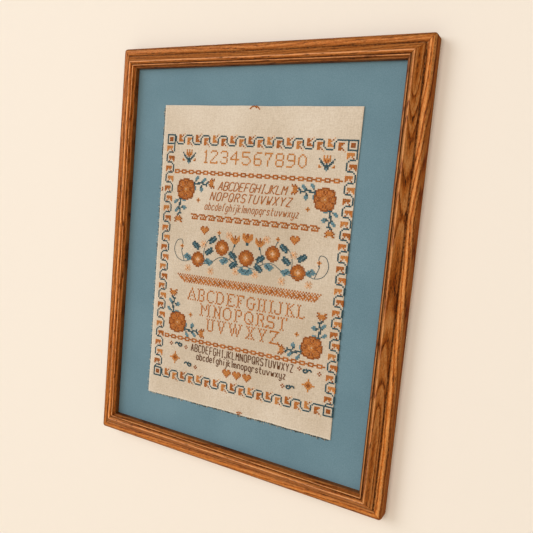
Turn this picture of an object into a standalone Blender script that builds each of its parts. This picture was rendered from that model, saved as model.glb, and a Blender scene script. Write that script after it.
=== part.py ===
"""Framed cross stitch sampler: a mitred wooden frame, a coloured board in its rabbet, and the
stitched cloth that lies on the board.

World axes: X to the right and Z up as seen from the front, Y into the wall. The origin is on the
back of the top rail, at its middle, where the frame meets the wall. All sizes are in metres.
"""
import math

import bmesh
import bpy
from mathutils import Vector

# The frame, as seen from the front.
SIGHT_WIDTH = 0.340
SIGHT_HEIGHT = 0.445
RAIL_WIDTH = 0.0254
CORNER_RADIUS = 0.0035
CORNER_STEPS = 4
PIECE_GAP = 0.0003

# The moulding in section: heights are above the face of the board, towards the viewer.
WALL_TO_BOARD_FACE = 0.0135
RABBET_DEPTH = 0.0068
LIP_ROUND = 0.0012
LIP_HEIGHT = 0.0066
FILLET_BACK = 0.0024
FILLET_RADIUS = 0.0006
FILLET_HEIGHT = 0.0103
INNER_GROOVE = 0.0040
INNER_GROOVE_HEIGHT = 0.0088
RIDGE_CREST = 0.0071
RIDGE_HEIGHT = 0.0115
RIDGE_ROUND = 0.0010
SLOPE_FOOT = 0.0151
SLOPE_FOOT_HEIGHT = 0.0036
SLOPE_HOLLOW = 0.0007
OUTER_GROOVE = 0.0159
OUTER_GROOVE_HEIGHT = 0.0013
GROOVE_HALF_WIDTH = 0.0003
BEAD_WIDTH = 0.0051
BEAD_HEIGHT = 0.0027
BEAD_BASE = -0.0008

# The board behind the opening, and the cloth on it. Corners are from the middle of the opening.
BOARD_CLEARANCE = 0.0008
BOARD_THICKNESS = 0.0030
BOARD_EDGE = 0.0003
CLOTH_THICKNESS = 0.0012
CLOTH_CORNERS = {
    "top_left": (-0.1244, 0.1790),
    "top_right": (0.1294, 0.1781),
    "bottom_right": (0.1303, -0.1769),
    "bottom_left": (-0.1215, -0.1811),
}
CLOTH_CORNER_ROUND = 0.0012
CLOTH_COLUMNS = 20
CLOTH_ROWS = 28

# How far the middle of each edge stands in from a straight line, and the ripple along it.
EDGES = [
    # start, end, inward bow, ripple size, ripples along the edge
    ("bottom_left", "top_left", 0.0004, 0.00025, 5.0),
    ("bottom_right", "top_right", 0.0010, 0.00020, 3.0),
    ("bottom_left", "bottom_right", 0.0006, 0.00035, 4.0),
    ("top_left", "top_right", 0.0003, 0.00020, 3.5),
]
CLOTH_COCKLE = 0.00035

# The middle of the opening, below the middle of the top rail's back.
FRAME_MIDDLE_Z = -(SIGHT_HEIGHT / 2 + (RABBET_DEPTH + RAIL_WIDTH) / 2)


def clear_scene():
    for obj in list(bpy.data.objects):
        bpy.data.objects.remove(obj, do_unlink=True)


def plain_material(name, colour, roughness, metallic=0.0):
    material = bpy.data.materials.new(name)
    material.use_nodes = True
    shader = material.node_tree.nodes["Principled BSDF"]
    shader.inputs["Base Color"].default_value = (*colour, 1.0)
    shader.inputs["Roughness"].default_value = roughness
    shader.inputs["Metallic"].default_value = metallic
    return material


def add_object(name, mesh, material):
    obj = bpy.data.objects.new(name, mesh)
    bpy.context.scene.collection.objects.link(obj)
    if not mesh.materials:
        mesh.materials.append(material)
    return obj


def arc(centre_out, centre_height, reach_out, reach_height, start_deg, end_deg, steps):
    """Points of part of an ellipse in the moulding's section."""
    points = []
    for step in range(steps + 1):
        angle = math.radians(start_deg + (end_deg - start_deg) * step / steps)
        out = centre_out + reach_out * math.cos(angle)
        height = centre_height + reach_height * math.sin(angle)
        points.append((out, height))
    return points


def hollow_slope(start, end, depth, steps):
    """Points between two ends of a slope that is scooped by a small depth."""
    run = Vector(end) - Vector(start)
    inward = Vector((run.y, -run.x)).normalized()
    if inward.y > 0:
        inward.negate()
    points = []
    for step in range(1, steps):
        share = step / steps
        point = Vector(start) + run * share + inward * depth * math.sin(math.pi * share)
        points.append((point.x, point.y))
    return points


def moulding_section():
    """The closed outline of a rail: outward from the sight edge, and height above the board."""
    bead_centre = RAIL_WIDTH - BEAD_WIDTH
    lip = arc(LIP_ROUND, LIP_HEIGHT - LIP_ROUND, LIP_ROUND, LIP_ROUND, 180, 90, 4)
    fillet_centre = FILLET_BACK + FILLET_RADIUS
    fillet_base = FILLET_HEIGHT - FILLET_RADIUS
    fillet = arc(fillet_centre, fillet_base, FILLET_RADIUS, FILLET_RADIUS, 180, 0, 6)
    ridge_rise = RIDGE_HEIGHT - INNER_GROOVE_HEIGHT
    ridge_run = RIDGE_CREST - INNER_GROOVE - GROOVE_HALF_WIDTH
    ridge = arc(RIDGE_CREST, INNER_GROOVE_HEIGHT, ridge_run, ridge_rise, 180, 90, 6)
    crest_centre = RIDGE_HEIGHT - RIDGE_ROUND
    crest = arc(RIDGE_CREST, crest_centre, RIDGE_ROUND, RIDGE_ROUND, 70, 35, 2)
    slope_foot = (SLOPE_FOOT, SLOPE_FOOT_HEIGHT)
    slope = hollow_slope(crest[-1], slope_foot, SLOPE_HOLLOW, 5)
    bead = arc(bead_centre, BEAD_BASE, BEAD_WIDTH, BEAD_HEIGHT - BEAD_BASE, 140, 0, 11)
    section = [(RABBET_DEPTH, PIECE_GAP), (0.0, PIECE_GAP)]
    section += lip
    section.append((FILLET_BACK, LIP_HEIGHT))
    section += fillet
    section.append((INNER_GROOVE - GROOVE_HALF_WIDTH, INNER_GROOVE_HEIGHT))
    section += ridge
    section += crest
    section += slope
    section.append(slope_foot)
    section.append((OUTER_GROOVE - GROOVE_HALF_WIDTH, OUTER_GROOVE_HEIGHT))
    section.append((OUTER_GROOVE + GROOVE_HALF_WIDTH, OUTER_GROOVE_HEIGHT))
    section += bead
    section.append((RAIL_WIDTH, -WALL_TO_BOARD_FACE))
    section.append((RABBET_DEPTH, -WALL_TO_BOARD_FACE))
    return section


def split_section(section, limit):
    """The same outline with a point wherever it crosses the given distance outward."""
    points = []
    for index, here in enumerate(section):
        points.append(here)
        after = section[(index + 1) % len(section)]
        low, high = sorted((here[0], after[0]))
        if low < limit - 1e-7 and high > limit + 1e-7:
            share = (limit - here[0]) / (after[0] - here[0])
            points.append((limit, here[1] + (after[1] - here[1]) * share))
    return points


def rail_mesh(name, half_length, half_across):
    """A rail with mitred ends, whose outer edge turns round each corner of the frame.

    It is modelled as the top rail: X runs along it and Z is outward, from the frame's middle.
    """
    arc_start = RAIL_WIDTH - CORNER_RADIUS
    section = split_section(moulding_section(), arc_start)
    mitre_gap = PIECE_GAP / math.sqrt(2)
    bm = bmesh.new()
    rings = []
    ends = [(-1, step) for step in range(CORNER_STEPS, -1, -1)]
    ends += [(1, step) for step in range(CORNER_STEPS + 1)]
    for side, step in ends:
        angle = math.radians(45) * step / CORNER_STEPS
        ring = []
        for out, height in section:
            past = out - arc_start
            if past > 0:
                along = arc_start + past * math.sin(angle)
                outward = arc_start + past * math.cos(angle)
            else:
                along = out
                outward = out
            x = side * (half_length + along - mitre_gap)
            y = -(WALL_TO_BOARD_FACE + height)
            ring.append(bm.verts.new((x, y, half_across + outward)))
        rings.append(ring)
    count = len(section)
    for left, right in zip(rings, rings[1:]):
        for index in range(count):
            after = (index + 1) % count
            bm.faces.new((left[index], left[after], right[after], right[index]))
    bm.faces.new(rings[0])
    bm.faces.new(list(reversed(rings[-1])))
    bmesh.ops.remove_doubles(bm, verts=bm.verts, dist=1e-6)
    bmesh.ops.recalc_face_normals(bm, faces=bm.faces)
    mesh = bpy.data.meshes.new(name)
    bm.to_mesh(mesh)
    bm.free()
    mesh.shade_smooth()
    mesh.set_sharp_from_angle(angle=math.radians(30))
    return mesh


def build_frame():
    """Four rails of one moulding, turned about the frame's middle."""
    oak = plain_material("stained_oak", (0.36, 0.13, 0.035), 0.42)
    across = rail_mesh("rail_across", SIGHT_WIDTH / 2, SIGHT_HEIGHT / 2)
    upright = rail_mesh("rail_upright", SIGHT_HEIGHT / 2, SIGHT_WIDTH / 2)
    rails = [
        # name, mesh, quarter turns clockwise as seen from the front
        ("top_rail", across, 0),
        ("right_stile", upright, 1),
        ("bottom_rail", across, 2),
        ("left_stile", upright, 3),
    ]
    for name, mesh, turns in rails:
        obj = add_object(name, mesh, oak)
        obj.location = (0, 0, FRAME_MIDDLE_Z)
        obj.rotation_euler = (0, turns * math.pi / 2, 0)


def build_board():
    """The coloured board, loose in the rabbet behind the lip."""
    width = SIGHT_WIDTH + 2 * (RABBET_DEPTH - BOARD_CLEARANCE)
    height = SIGHT_HEIGHT + 2 * (RABBET_DEPTH - BOARD_CLEARANCE)
    bm = bmesh.new()
    bmesh.ops.create_cube(bm, size=1)
    bmesh.ops.scale(bm, verts=bm.verts, vec=(width, BOARD_THICKNESS, height))
    bmesh.ops.bevel(bm, geom=bm.edges[:], offset=BOARD_EDGE, segments=1, affect="EDGES")
    mesh = bpy.data.meshes.new("mount_board")
    bm.to_mesh(mesh)
    bm.free()
    board = add_object("mount_board", mesh, plain_material("blue_board", (0.16, 0.26, 0.29), 0.85))
    board.location = (0, BOARD_THICKNESS / 2 - WALL_TO_BOARD_FACE, FRAME_MIDDLE_Z)


def edge_point(edge, share):
    """A point along one edge of the cloth, with its bow and ripple; inward is to the middle."""
    start, end, bow, ripple, ripples = edge
    first = Vector(CLOTH_CORNERS[start])
    last = Vector(CLOTH_CORNERS[end])
    run = last - first
    across = Vector((-run.y, run.x)).normalized()
    middle = (first + last) / 2
    if across.dot(middle) > 0:
        across.negate()
    wave = math.sin(math.pi * share)
    inward = bow * wave + ripple * wave * math.sin(2 * math.pi * ripples * share + bow * 5000)
    return first + run * share + across * inward


def cloth_point(column, row):
    """A point of the sheet, blended between its four edges, with rounded corners."""
    u = column / CLOTH_COLUMNS
    v = row / CLOTH_ROWS
    left, right, bottom, top = [edge_point(edge, share) for edge, share in zip(EDGES, (v, v, u, u))]
    corners = {name: Vector(point) for name, point in CLOTH_CORNERS.items()}
    low = corners["bottom_left"].lerp(corners["bottom_right"], u)
    high = corners["top_left"].lerp(corners["top_right"], u)
    point = left.lerp(right, u) + bottom.lerp(top, v) - low.lerp(high, v)
    if column in (0, CLOTH_COLUMNS) and row in (0, CLOTH_ROWS):
        point -= point.normalized() * CLOTH_CORNER_ROUND
    return point


def cockle(column, row):
    """Slight unevenness of the cloth's face towards its edges."""
    u = column / CLOTH_COLUMNS
    v = row / CLOTH_ROWS
    near_edge = 1 - 16 * u * (1 - u) * v * (1 - v)
    along = math.sin(2 * math.pi * (2.5 * v + 0.2)) * math.cos(2 * math.pi * (1.5 * u + 0.1))
    return CLOTH_COCKLE * near_edge * (0.5 + 0.5 * along)


def build_cloth():
    """The stitched cloth, a sheet with its edges turned or left raw, lying on the board."""
    bm = bmesh.new()
    back_y = -(WALL_TO_BOARD_FACE + PIECE_GAP)
    layers = []
    for layer in range(2):
        grid = []
        for row in range(CLOTH_ROWS + 1):
            line = []
            for column in range(CLOTH_COLUMNS + 1):
                x, z = cloth_point(column, row)
                y = back_y - layer * (CLOTH_THICKNESS + cockle(column, row))
                line.append(bm.verts.new((x, y, z)))
            grid.append(line)
        layers.append(grid)
    back, front = layers
    for row in range(CLOTH_ROWS):
        for column in range(CLOTH_COLUMNS):
            for grid in layers:
                bm.faces.new((grid[row][column], grid[row][column + 1],
                              grid[row + 1][column + 1], grid[row + 1][column]))
    rim = [(0, column) for column in range(CLOTH_COLUMNS)]
    rim += [(row, CLOTH_COLUMNS) for row in range(CLOTH_ROWS)]
    rim += [(CLOTH_ROWS, column) for column in range(CLOTH_COLUMNS, 0, -1)]
    rim += [(row, 0) for row in range(CLOTH_ROWS, 0, -1)]
    for here, after in zip(rim, rim[1:] + rim[:1]):
        bm.faces.new((back[here[0]][here[1]], back[after[0]][after[1]],
                      front[after[0]][after[1]], front[here[0]][here[1]]))
    bmesh.ops.recalc_face_normals(bm, faces=bm.faces)
    mesh = bpy.data.meshes.new("stitched_cloth")
    bm.to_mesh(mesh)
    bm.free()
    mesh.shade_smooth()
    mesh.set_sharp_from_angle(angle=math.radians(40))
    cloth = add_object("stitched_cloth", mesh, plain_material("linen", (0.70, 0.57, 0.42), 0.95))
    cloth.location = (0, 0, FRAME_MIDDLE_Z)


def main():
    clear_scene()
    build_frame()
    build_board()
    build_cloth()


main()
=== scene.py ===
"""A framed cross stitch sampler: a stained oak frame, a grey-blue board and a stitched cloth.

Metres, Z up. The frame's back is the plane y = 0 and the cloth faces -Y.
"""

import math

import bpy
import numpy as np
from mathutils import Matrix, Vector


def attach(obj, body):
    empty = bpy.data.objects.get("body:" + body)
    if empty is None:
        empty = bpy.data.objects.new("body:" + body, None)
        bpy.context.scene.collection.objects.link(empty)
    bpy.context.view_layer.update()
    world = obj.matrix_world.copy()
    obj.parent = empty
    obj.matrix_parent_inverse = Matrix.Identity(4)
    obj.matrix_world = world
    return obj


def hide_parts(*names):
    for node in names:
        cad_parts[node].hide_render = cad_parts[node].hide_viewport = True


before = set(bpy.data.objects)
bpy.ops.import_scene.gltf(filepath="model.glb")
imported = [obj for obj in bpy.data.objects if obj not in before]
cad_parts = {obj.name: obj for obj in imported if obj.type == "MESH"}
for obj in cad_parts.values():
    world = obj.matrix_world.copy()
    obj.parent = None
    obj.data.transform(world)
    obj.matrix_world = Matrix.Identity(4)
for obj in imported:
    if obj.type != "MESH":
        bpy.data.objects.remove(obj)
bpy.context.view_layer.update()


# The camera stands to the right of the frame and a little above its middle. It looks to the
# left and slightly down, and is held a few degrees out of level.
CAMERA_PLACE = (0.3352, -0.5872, -0.1644)
CAMERA_LEFT, CAMERA_DOWN, CAMERA_TILT = math.radians(27.78), math.radians(6.47), math.radians(5.10)
CAMERA_LENS = 38.99
CAMERA_FILM = 36

lens = bpy.data.cameras.new("camera")
lens.lens = CAMERA_LENS
lens.sensor_width = CAMERA_FILM
lens.clip_start = 0.01
camera = bpy.data.objects.new("camera", lens)
camera.matrix_world = (Matrix.Translation(CAMERA_PLACE)
                       @ Matrix.Rotation(CAMERA_LEFT, 4, "Z")
                       @ Matrix.Rotation(math.pi / 2 - CAMERA_DOWN, 4, "X")
                       @ Matrix.Rotation(CAMERA_TILT, 4, "Z"))
bpy.context.scene.collection.objects.link(camera)
bpy.context.scene.camera = camera
bpy.context.scene.view_settings.view_transform = "Standard"


# The frame: four lengths of one oak moulding, mitred and glued at the corners. The open grain is
# stained red-brown under satin varnish, darkest in the grooves (stain and painted shade), with painted
# highlights on the crests. Their backs are left bare. The solids have the moulding's full shape and stay.
SIGHT_WIDTH, SIGHT_HEIGHT = 0.340, 0.445
RAIL_WIDTH = 0.0254
MIDDLE_Z = -0.2386
RAIL_FACE = 0.025
RABBET_FRONT = -0.0138
# Between these two distances from the sight edge the inner slope turns into the outer bead.
SLOPE_TOP, BEAD_START = 0.0062, 0.0092
# Colour left on the face, by the distance out from the sight edge in millimetres: darker at the lip,
# the riser, the grooves and the sides, partly stain and partly painted shade, and above 1 on the
# crests a painted highlight.
STAIN_AND_PAINTED_LIGHT = [(0.0, 0.40), (0.6, 0.52), (1.3, 0.72), (2.2, 0.62), (2.4, 0.90), (2.6, 1.42), (3.4, 1.42),
         (3.8, 0.60), (4.1, 0.44), (4.7, 0.66), (5.8, 0.90), (6.5, 1.20), (6.9, 1.52), (7.6, 1.50),
         (8.3, 1.00), (11.5, 0.88), (14.6, 0.76), (15.5, 0.58), (15.9, 0.48), (16.4, 0.62), (17.6, 0.92),
         (20.0, 1.16), (21.6, 1.06), (23.0, 0.78), (24.4, 0.72), (25.1, 0.62), (25.35, 0.60)]
# The largest value, a painted highlight, sets the top of the ramp.
MOST_STAIN_OR_LIGHT = 1.55
# How much of the dark dashes gathers in each groove.
DASHES = [(0.0, 0.0), (1.9, 0.0), (2.2, 0.6), (2.4, 0.0), (3.7, 0.1), (4.1, 0.9), (4.5, 0.1), (5.0, 0.0),
          (15.1, 0.0), (15.6, 0.8), (16.1, 1.0), (16.6, 0.1), (17.0, 0.0), (22.9, 0.0), (23.5, 0.75),
          (24.0, 0.2), (24.5, 0.0)]
# name: runs along X or Z, where in the log the length was cut, how strong its rings are, how
# much painted light or shade its inner slope, its outer part and its outer side get, and from its
# left or lower end how far the log's heart lies sideways and below the face, in millimetres
LENGTHS = {
    "top_rail": ("X", 1.70, 0.32, (0.95, 0.98, 1.0), [(0.0, -44, 8), (0.5, -52, 6), (1.0, -40, 9)]),
    "bottom_rail": ("X", 3.10, 0.40, (1.0, 1.03, 1.0), [(0.0, -38, 6), (0.4, -45, 8), (1.0, -54, 7)]),
    "left_stile": ("Z", 5.30, 0.36, (1.5, 0.98, 0.9),
                   [(0.0, -36, 9), (0.5, -46, 7), (0.8, -34, 9), (1.0, -44, 8)]),
    "right_stile": ("Z", 7.25, 0.62, (0.66, 1.20, 1.55),
                    [(0.0, 7, 4), (0.12, 9, 4), (0.24, 8, 7), (0.31, 5, 11), (0.42, 2, 14), (0.54, -1, 17),
                     (0.64, -3, 19), (0.75, 1, 15), (0.82, 4, 11), (0.89, 8, 7), (0.94, 10, 5),
                     (1.0, 11, 4)]),
}


def linear(red, green, blue):
    """A colour as seen on a screen, 0 to 255, as the linear colour that shaders take."""
    shares = [part / 255 for part in (red, green, blue)]
    return tuple(s / 12.92 if s <= 0.04045 else ((s + 0.055) / 1.055) ** 2.4 for s in shares) + (1.0,)


def put(tree, kind, inputs=None, **settings):
    """One shader node with its settings; an input takes a value or another node's output."""
    made = tree.nodes.new("ShaderNode" + kind)
    for name, value in settings.items():
        setattr(made, name, value)
    for socket, value in (inputs or {}).items():
        if isinstance(value, bpy.types.NodeSocket):
            tree.links.new(value, made.inputs[socket])
        else:
            made.inputs[socket].default_value = value
    return made


def maths(tree, operation, *values):
    """A Math node on values or other nodes' outputs."""
    return put(tree, "Math", dict(enumerate(values)), operation=operation).outputs[0]


def weighted(tree, *parts, plus=0.0):
    """The sum of values, each times its weight."""
    total = plus
    for value, weight in parts:
        total = maths(tree, "MULTIPLY_ADD", value, weight, total)
    return total


def ramp(tree, value, stops):
    """A smooth scale of colours or greys over a value from 0 to 1."""
    made = put(tree, "ValToRGB", {0: value})
    elements = made.color_ramp.elements
    elements.remove(elements[1])
    elements[0].position = stops[0][0]
    for at, _ in stops[1:]:
        elements.new(at)
    for element, (_, colour) in zip(elements, stops):
        element.color = colour if isinstance(colour, tuple) else (colour, colour, colour, 1.0)
    return made.outputs["Color"]


def blended(tree, factor, first, second, how="MIX"):
    """Two colours mixed by a factor."""
    return put(tree, "Mix", {0: factor, 6: first, 7: second}, data_type="RGBA", blend_type=how).outputs[2]


def noise(tree, vector, scale, detail=2.0, roughness=0.5):
    """Noise from 0 to 1; the scale is per metre where the vector is a place."""
    return put(tree, "TexNoise", {"Vector": vector, "Scale": scale, "Detail": detail,
                                  "Roughness": roughness}).outputs[0]


def new_group(name, inputs, outputs):
    """An empty node group with named sockets, and its inner input and output nodes."""
    group = bpy.data.node_groups.new(name, "ShaderNodeTree")
    for way, sockets in (("INPUT", inputs), ("OUTPUT", outputs)):
        for socket, kind in sockets.items():
            group.interface.new_socket(name=socket, in_out=way, socket_type="NodeSocket" + kind)
    return group, group.nodes.new("NodeGroupInput"), group.nodes.new("NodeGroupOutput")


def new_material(name):
    """A material with one Principled shader, and its node tree."""
    material = bpy.data.materials.new(name)
    material.use_nodes = True
    return material, material.node_tree, material.node_tree.nodes["Principled BSDF"]


def placed(tree, group, inputs):
    """A node group in a material, with its inputs; its sockets exist once its tree is set."""
    return put(tree, "Group", inputs, node_tree=group)


# Growth rings cut by the face of a board. Beside the log's heart the grain is straight, and
# over it, where the heart dips below the face, the rings are cut as pointed arches.
RING_SPACING = 0.0038
oak_grain, cut, rings = new_group(
    "oak_grain",
    {"Along": "Float", "Across": "Float", "Depth": "Float", "Heart": "Float", "Below": "Float"},
    {"Tone": "Float", "Pores": "Float", "Fibre": "Float"})


def stretched(along, across):
    """The place in the log, drawn out along the grain; the scales are per metre."""
    scales = {"Along": along, "Across": across, "Depth": across}
    drawn_out = [maths(oak_grain, "MULTIPLY", cut.outputs[way], scale) for way, scale in scales.items()]
    return put(oak_grain, "CombineXYZ", dict(enumerate(drawn_out))).outputs[0]


def wandering(vector, detail, size):
    """A drift to either side, its size in metres."""
    return weighted(oak_grain, (noise(oak_grain, vector, 1.0, detail), size), plus=-0.5 * size)


sway = maths(oak_grain, "ADD", wandering(stretched(11.0, 25.0), 1.0, 0.0055),
             wandering(stretched(70.0, 420.0), 2.0, 0.0011))
across = maths(oak_grain, "ADD", sway,
               maths(oak_grain, "SUBTRACT", cut.outputs["Across"], cut.outputs["Heart"]))
depth = maths(oak_grain, "ADD", wandering(stretched(17.0, 40.0), 1.0, 0.009),
              maths(oak_grain, "ADD", cut.outputs["Depth"], cut.outputs["Below"]))
radius = maths(oak_grain, "SQRT", maths(oak_grain, "ADD", maths(oak_grain, "MULTIPLY", across, across),
                                        maths(oak_grain, "MULTIPLY", depth, depth)))
uneven = noise(oak_grain, put(oak_grain, "CombineXYZ", {0: radius}).outputs[0], 130.0, 1.0)
turn = maths(oak_grain, "FRACT", weighted(oak_grain, (radius, 1 / RING_SPACING), (uneven, 1.6)))
tone = ramp(oak_grain, turn, [(0.0, 0.0), (0.10, 0.10), (0.24, 0.50), (0.50, 0.86), (0.80, 1.0),
                              (0.93, 0.72), (1.0, 0.0)])
fine = noise(oak_grain, stretched(55.0, 1050.0), 1.0, 3.0, 0.62)
broad = noise(oak_grain, stretched(16.0, 330.0), 1.0, 2.0, 0.5)
grit = noise(oak_grain, stretched(420.0, 1000.0), 1.0, 2.0, 0.6)
fibre = weighted(oak_grain, (fine, 0.40), (broad, 0.12), (grit, 0.48))
specks = noise(oak_grain, stretched(150.0, 1150.0), 1.0, 1.0)
pores = ramp(oak_grain, specks, [(0.54, 0.0), (0.61, 1.0)])
near_ring = weighted(oak_grain, (tone, -0.86), plus=1.08)
oak_grain.links.new(tone, rings.inputs["Tone"])
oak_grain.links.new(maths(oak_grain, "MULTIPLY", pores, near_ring), rings.inputs["Pores"])
oak_grain.links.new(ramp(oak_grain, fibre, [(0.36, 0.0), (0.64, 1.0)]), rings.inputs["Fibre"])


def stained_oak(name, runs, cut_at, ring_strength, painted_light, heart):
    """Stained oak for one length of the moulding, its grain along the length, with painted shade and
    highlights.
    """
    material, tree, shader = new_material(name + "_stained_oak")
    place = put(tree, "SeparateXYZ", {0: put(tree, "TexCoord").outputs["Object"]})
    if runs == "X":
        side = maths(tree, "ABSOLUTE", maths(tree, "SUBTRACT", place.outputs["Z"], MIDDLE_Z))
        out = maths(tree, "SUBTRACT", side, SIGHT_HEIGHT / 2)
        low, high = -SIGHT_WIDTH / 2 - RAIL_WIDTH, SIGHT_WIDTH / 2 + RAIL_WIDTH
    else:
        out = maths(tree, "SUBTRACT", maths(tree, "ABSOLUTE", place.outputs["X"]), SIGHT_WIDTH / 2)
        low, high = MIDDLE_Z - SIGHT_HEIGHT / 2 - RAIL_WIDTH, MIDDLE_Z + SIGHT_HEIGHT / 2 + RAIL_WIDTH
    below_face = weighted(tree, (place.outputs["Y"], -1.0), plus=-RAIL_FACE)
    share = put(tree, "MapRange", {0: place.outputs[runs], 1: low, 2: high}).outputs[0]
    # a ramp holds 0 to 1, so the heart's -60 to 40 mm are squeezed into it and drawn out again
    routes = [[(stop[0], (stop[way] + 60) / 100) for stop in heart] for way in (1, 2)]
    sideways, dip = (weighted(tree, (ramp(tree, share, route), 0.1), plus=-0.06) for route in routes)
    grain = placed(tree, oak_grain, {"Along": maths(tree, "ADD", place.outputs[runs], cut_at), "Across": out,
                                     "Depth": below_face, "Heart": sideways, "Below": dip})
    mixed = weighted(tree, (grain.outputs["Tone"], ring_strength), (grain.outputs["Fibre"], 0.44),
                     plus=(0.58 - ring_strength) * 0.62)
    wood = ramp(tree, mixed, [(0.06, linear(140, 57, 3)), (0.34, linear(190, 99, 26)),
                              (0.66, linear(229, 133, 54)), (0.96, linear(253, 174, 98))])
    across_face = maths(tree, "DIVIDE", out, RAIL_WIDTH)
    # The stain with its painted shade and highlights, and the dark dashes in the grooves, across the face
    stain_and_light, dashes = (ramp(tree, across_face, [(at / 1000 / RAIL_WIDTH, value / most) for at, value in table])
                     for table, most in ((STAIN_AND_PAINTED_LIGHT, MOST_STAIN_OR_LIGHT), (DASHES, 1.0)))
    wood = blended(tree, 1.0, wood, stain_and_light, "MULTIPLY")
    # Painted light or shade of this length, from its inner slope out to its outer part
    slope = put(tree, "MapRange", {0: out, 1: SLOPE_TOP, 2: BEAD_START, 3: painted_light[0], 4: painted_light[1]}).outputs[0]
    wood = blended(tree, 1.0, wood, slope, "MULTIPLY")
    # Painted highlight: where the table is highest the wood is blended towards pale
    strongest_highlight = 0.34 * min(painted_light[0], 1.0) ** 2
    painted_highlight = put(tree, "MapRange", {0: stain_and_light, 1: 0.76, 2: 0.96, 3: 0.0, 4: strongest_highlight}).outputs[0]
    wood = blended(tree, painted_highlight, wood, linear(238, 192, 148))
    front = maths(tree, "LESS_THAN", out, RAIL_WIDTH - 0.0002)
    # Painted light or shade on the outer side of each length
    painted_side_light = tuple(painted_light[2] * part for part in (1.0, 0.80, 0.48)) + (1.0,)
    wood = blended(tree, front, blended(tree, 1.0, wood, painted_side_light, "MULTIPLY"), wood)
    broken = noise(tree, put(tree, "TexCoord").outputs["Object"], 330.0, 2.0)
    dashed = ramp(tree, broken, [(0.47, 0.0), (0.53, 1.0)])
    dark = maths(tree, "MAXIMUM", maths(tree, "MULTIPLY", grain.outputs["Pores"], 0.82),
                 maths(tree, "MULTIPLY", dashes, maths(tree, "MULTIPLY", dashed, 0.85)))
    wood = blended(tree, dark, wood, linear(48, 24, 8))
    # the walls of the rabbet, and the back
    bare = maths(tree, "MULTIPLY", maths(tree, "LESS_THAN", out, RAIL_WIDTH - 0.003),
                 maths(tree, "GREATER_THAN", place.outputs["Y"], RABBET_FRONT))
    bare = maths(tree, "MAXIMUM", bare, maths(tree, "GREATER_THAN", place.outputs["Y"], -0.0006))
    bare_oak = ramp(tree, mixed, [(0.1, linear(150, 117, 80)), (0.95, linear(205, 176, 136))])
    tree.links.new(blended(tree, bare, wood, bare_oak), shader.inputs["Base Color"])
    gloss = weighted(tree, (dark, 0.25), (grain.outputs["Fibre"], 0.12), plus=0.42)
    gloss = maths(tree, "MAXIMUM", gloss, weighted(tree, (front, -0.9), plus=0.9))
    tree.links.new(gloss, shader.inputs["Roughness"])
    relief = weighted(tree, (grain.outputs["Fibre"], 0.35), (dark, -1.0))
    bump = put(tree, "Bump", {"Height": relief, "Strength": 0.5, "Distance": 0.0002})
    tree.links.new(bump.outputs[0], shader.inputs["Normal"])
    shader.inputs["Specular IOR Level"].default_value = 0.12
    return material


for name, cut_from in LENGTHS.items():
    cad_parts[name].data.materials.clear()
    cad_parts[name].data.materials.append(stained_oak(name, *cut_from))


# The mount board: card faced with matt grey-blue paper, cut to drop into the rabbet behind
# the lip. Its paper has a fine fibre and a slight cloudiness.
board_paper, tree, shader = new_material("blue_board_paper")
place = put(tree, "TexCoord").outputs["Object"]
clouds = noise(tree, place, 16.0, 3.0)
flecks = noise(tree, place, 950.0, 3.0, 0.7)
shade = weighted(tree, (clouds, 0.40), (flecks, 0.90), plus=-0.15)
tree.links.new(ramp(tree, shade, [(0.30, linear(97, 124, 132)), (0.50, linear(106, 133, 141)),
                                  (0.72, linear(117, 143, 150))]), shader.inputs["Base Color"])
shader.inputs["Roughness"].default_value = 0.9
shader.inputs["Specular IOR Level"].default_value = 0.25
bump = put(tree, "Bump", {"Height": flecks, "Strength": 0.35, "Distance": 0.00012})
tree.links.new(bump.outputs[0], shader.inputs["Normal"])
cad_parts["mount_board"].data.materials.clear()
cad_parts["mount_board"].data.materials.append(board_paper)


# The cloth: evenweave in a natural cream, laid flat on the face of the board. Its top and
# right edges are turned and pressed, its left and bottom edges are raw. It cockles a little
# towards its edges, and the stitches pucker it slightly.
CLOTH_FLAT = (0.254, 0.358)
CLOTH_CORNERS = {
    "top_left": (-0.1244, 0.1790),
    "top_right": (0.1294, 0.1781),
    "bottom_right": (0.1303, -0.1769),
    "bottom_left": (-0.1215, -0.1811),
}
# from, to, bow towards the middle, ripple, number of ripples
CLOTH_EDGES = {
    "left": ("bottom_left", "top_left", 0.0004, 0.00025, 5),
    "right": ("bottom_right", "top_right", 0.0010, 0.0002, 3),
    "bottom": ("bottom_left", "bottom_right", 0.0006, 0.00035, 4),
    "top": ("top_left", "top_right", 0.0003, 0.0002, 3.5),
}
# The lower left corner and the size of the upright rectangle nearest the cloth
CLOTH_LOW, CLOTH_SPAN = (-0.1230, -0.1790), (0.2528, 0.3576)
CLOTH_SQUARES = (92, 128)
CLOTH_THICK = 0.0008
CLOTH_FRONT = -0.0147
CLOTH_COCKLE = 0.00028
# How far in from its edge the cloth is rounded, and how far in a raw edge is paler
EDGE_ROUNDING, RAW_FADE = 0.0009, 0.0022
# The stitches' grid: its corners on the cloth from the opening's middle, and its size
CHART_CORNERS = ((-0.1178, 0.1444), (0.1279, 0.1445), (-0.1151, -0.1581), (0.1306, -0.1519))
CHART_COLUMNS, CHART_ROWS = 142, 175


def edge_line(edge, share):
    """Points along one edge of the cloth, with its bow and ripple."""
    start, end, bow, ripple, ripples = CLOTH_EDGES[edge]
    first = np.array(CLOTH_CORNERS[start])
    run = np.array(CLOTH_CORNERS[end]) - first
    across = np.array((-run[1], run[0])) / np.hypot(*run)
    if across @ (first + run / 2) > 0:
        across = -across
    wave = np.sin(np.pi * share)
    inward = bow * wave + ripple * wave * np.sin(2 * np.pi * ripples * share + bow * 5000)
    return first + run * share[:, None] + across * inward[:, None]


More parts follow.
